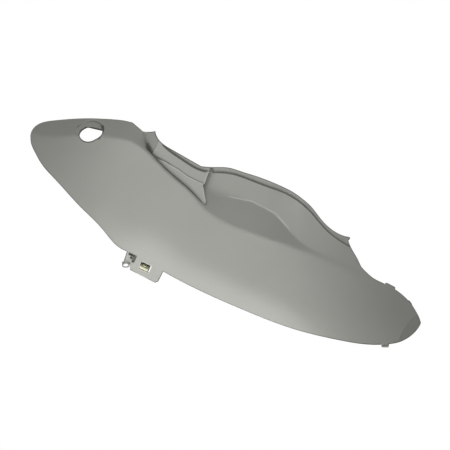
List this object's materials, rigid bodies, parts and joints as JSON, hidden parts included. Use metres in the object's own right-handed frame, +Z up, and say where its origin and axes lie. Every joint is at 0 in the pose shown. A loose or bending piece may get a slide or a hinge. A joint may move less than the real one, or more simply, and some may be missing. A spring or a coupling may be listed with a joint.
{
  "type": "scooter side panel",
  "caption": "Long curved body panel for one rear side of a motor scooter, with a recessed upper side, a flange under the seat and a lower fixing tab.",
  "frame": {"origin": "centre of the screw eye at the tail end of the lower tab", "axes": "+X towards the scooter's front, +Y towards its centre line (the hidden side), +Z up, as mounted"},
  "size_m": [0.7083, 0.1477, 0.414],
  "materials": {
    "paint": "satin silver-grey metallic paint on moulded plastic",
    "zinc": "yellow-passivated spring steel"
  },
  "bodies": {
    "root": {"side_panel": "paint", "clip_nut": "zinc"}
  },
  "joints": []
}
